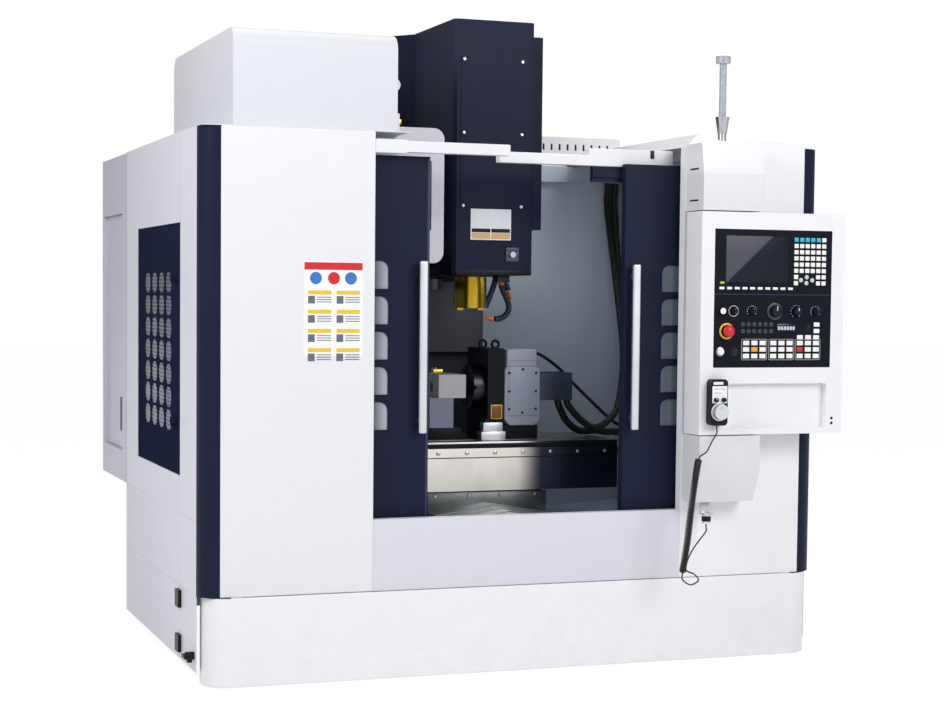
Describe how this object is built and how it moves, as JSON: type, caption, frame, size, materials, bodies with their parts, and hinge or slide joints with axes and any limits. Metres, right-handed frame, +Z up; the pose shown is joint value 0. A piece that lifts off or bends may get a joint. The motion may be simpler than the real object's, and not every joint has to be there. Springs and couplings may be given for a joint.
{
  "type": "vertical machining centre",
  "caption": "Vertical milling machining centre in a sheet-metal enclosure with sliding doors, rotary axis on its table, side tool magazine and swivelling control pendant.",
  "frame": {"origin": "on the floor under the middle of the bounding box", "axes": "+X to the right seen from the operator, +Y to the back, +Z up"},
  "size_m": [2.389, 2.221, 2.343],
  "materials": {
    "white_paint": "satin",
    "lilac_paint": "satin",
    "navy_paint": "satin",
    "cast_iron": "machined",
    "steel": "brushed",
    "brass": "polished",
    "black_plastic": "matte",
    "red_plastic": "gloss",
    "white_plastic": "gloss",
    "black_rubber": "matte",
    "window_glass": "clear"
  },
  "bodies": {
    "frame": {"base_casting": "cast_iron", "column_casting": "cast_iron", "plinth": "white_paint", "left_front_panel": "white_paint", "right_front_panel": "white_paint", "lower_front_panel": "white_paint", "corner_trims": "navy_paint", "left_side_panel": "lilac_paint", "right_side_panel": "lilac_paint", "inner_left_wall": "lilac_paint", "inner_right_wall": "lilac_paint", "back_wall": "lilac_paint", "header_rails": "white_paint", "pendant_arms": "white_paint", "signal_base": "white_plastic", "signal_lens": "white_plastic", "cabinet": "lilac_paint", "magazine_cover": "white_paint", "magazine_shroud": "white_paint", "magazine_drive": "cast_iron", "air_unit": "white_plastic", "side_fittings": "black_plastic", "y_way_cover": "steel", "z_way_cover": "steel", "mpg_cord": "black_rubber", "conduit_a": "black_rubber", "conduit_b": "black_rubber"},
    "cabinet_door": {"cabinet_door": "lilac_paint"},
    "side_door": {"side_door": "navy_paint"},
    "drain_lever": {"drain_lever": "black_plastic"},
    "tool_carousel": {"tool_carousel": "steel"},
    "tool_arm": {"tool_arm": "steel"},
    "left_door": {"left_door": "navy_paint", "left_window": "window_glass", "left_handle": "steel"},
    "right_door": {"right_door": "navy_paint", "right_window": "window_glass", "right_handle": "steel"},
    "saddle": {"saddle": "cast_iron"},
    "table": {"table": "steel", "table_skirt": "steel", "rotary_body": "black_plastic", "rotary_gearcase": "cast_iron", "tailstock": "steel"},
    "rotary_faceplate": {"rotary_faceplate": "steel"},
    "tailstock_quill": {"tailstock_quill": "steel"},
    "head": {"head_cover": "navy_paint", "head_casting": "cast_iron", "coolant_nozzles": "black_plastic"},
    "spindle": {"spindle": "brass"},
    "unclamp_button": {"unclamp_button": "white_plastic"},
    "pendant": {"pendant_case": "white_paint", "control_panel": "black_plastic", "mpg_body": "black_plastic"},
    "estop": {"estop": "red_plastic"},
    "cycle_start": {"cycle_start": "white_plastic"},
    "mode_knob": {"mode_knob": "black_plastic"},
    "feed_knob": {"feed_knob": "black_plastic"},
    "mpg_wheel": {"mpg_wheel": "steel"},
    "mpg_axis_knob": {"mpg_axis_knob": "black_plastic"}
  },
  "joints": [
    {"name": "left_door_slide", "type": "slide", "parent": "frame", "child": "left_door", "axis": [1, 0, 0], "range_m": [-0.1, 0.37]},
    {"name": "right_door_slide", "type": "slide", "parent": "frame", "child": "right_door", "axis": [1, 0, 0], "range_m": [-0.37, 0.1]},
    {"name": "side_door_hinge", "type": "hinge", "parent": "frame", "child": "side_door", "pos_m": [-1.144, 0.248, 1.129], "axis": [0, 0, -1], "range_deg": [0, 90]},
    {"name": "cabinet_door_hinge", "type": "hinge", "parent": "frame", "child": "cabinet_door", "pos_m": [-1.126, 1.067, 1.162], "axis": [0, 0, -1], "range_deg": [0, 90]},
    {"name": "drain_turn", "type": "hinge", "parent": "frame", "child": "drain_lever", "pos_m": [-1.1865, -0.8105, 0.098], "axis": [-1, 0, 0], "range_deg": [0, 90]},
    {"name": "y_axis", "type": "slide", "parent": "frame", "child": "saddle", "axis": [0, 1, 0], "range_m": [-0.2, 0.2], "deforming": ["y_way_cover", "conduit_a", "conduit_b"]},
    {"name": "x_axis", "type": "slide", "parent": "saddle", "child": "table", "axis": [1, 0, 0], "range_m": [-0.4, 0.25], "deforming": ["conduit_a", "conduit_b"]},
    {"name": "z_axis", "type": "slide", "parent": "frame", "child": "head", "axis": [0, 0, 1], "range_m": [-0.07, 0.1]},
    {"name": "spindle_turn", "type": "hinge", "parent": "head", "child": "spindle", "pos_m": [0.0305, -0.2505, 1.4], "axis": [0, 0, 1], "continuous": true},
    {"name": "unclamp_press", "type": "slide", "parent": "head", "child": "unclamp_button", "axis": [0, 1, 0], "range_m": [0, 0.003], "stiffness_N_per_m": 400, "springref_m": -0.002},
    {"name": "rotary_turn", "type": "hinge", "parent": "table", "child": "rotary_faceplate", "pos_m": [0.0685, -0.2455, 0.975], "axis": [1, 0, 0], "continuous": true},
    {"name": "quill_feed", "type": "slide", "parent": "table", "child": "tailstock_quill", "axis": [1, 0, 0], "range_m": [-0.03, 0]},
    {"name": "carousel_turn", "type": "hinge", "parent": "frame", "child": "tool_carousel", "pos_m": [-0.6265, -0.1905, 1.8], "axis": [1, 0, 0], "continuous": true},
    {"name": "tool_arm_swing", "type": "hinge", "parent": "frame", "child": "tool_arm", "pos_m": [-0.2095, -0.2505, 1.365], "axis": [0, 0, 1], "range_deg": [0, 55]},
    {"name": "pendant_swivel", "type": "hinge", "parent": "frame", "child": "pendant", "pos_m": [0.6535, -0.9905, 1.235], "axis": [0, 0, -1], "range_deg": [0, 85], "deforming": ["mpg_cord"]},
    {"name": "estop_press", "type": "slide", "parent": "pendant", "child": "estop", "axis": [0, 1, 0], "range_m": [0, 0.004], "stiffness_N_per_m": 600, "springref_m": -0.002},
    {"name": "cycle_start_press", "type": "slide", "parent": "pendant", "child": "cycle_start", "axis": [0, 1, 0], "range_m": [0, 0.003], "stiffness_N_per_m": 400, "springref_m": -0.002},
    {"name": "mode_turn", "type": "hinge", "parent": "pendant", "child": "mode_knob", "pos_m": [0.9115, -1.0505, 1.28], "axis": [0, -1, 0], "range_deg": [-60, 60]},
    {"name": "feed_turn", "type": "hinge", "parent": "pendant", "child": "feed_knob", "pos_m": [0.9995, -1.0505, 1.28], "axis": [0, -1, 0], "range_deg": [-120, 120]},
    {"name": "mpg_turn", "type": "hinge", "parent": "pendant", "child": "mpg_wheel", "pos_m": [0.6745, -1.0885, 0.921], "axis": [0, -1, 0], "continuous": true},
    {"name": "mpg_axis_turn", "type": "hinge", "parent": "pendant", "child": "mpg_axis_knob", "pos_m": [0.6585, -1.0885, 0.964], "axis": [0, -1, 0], "range_deg": [0, 120]}
  ]
}
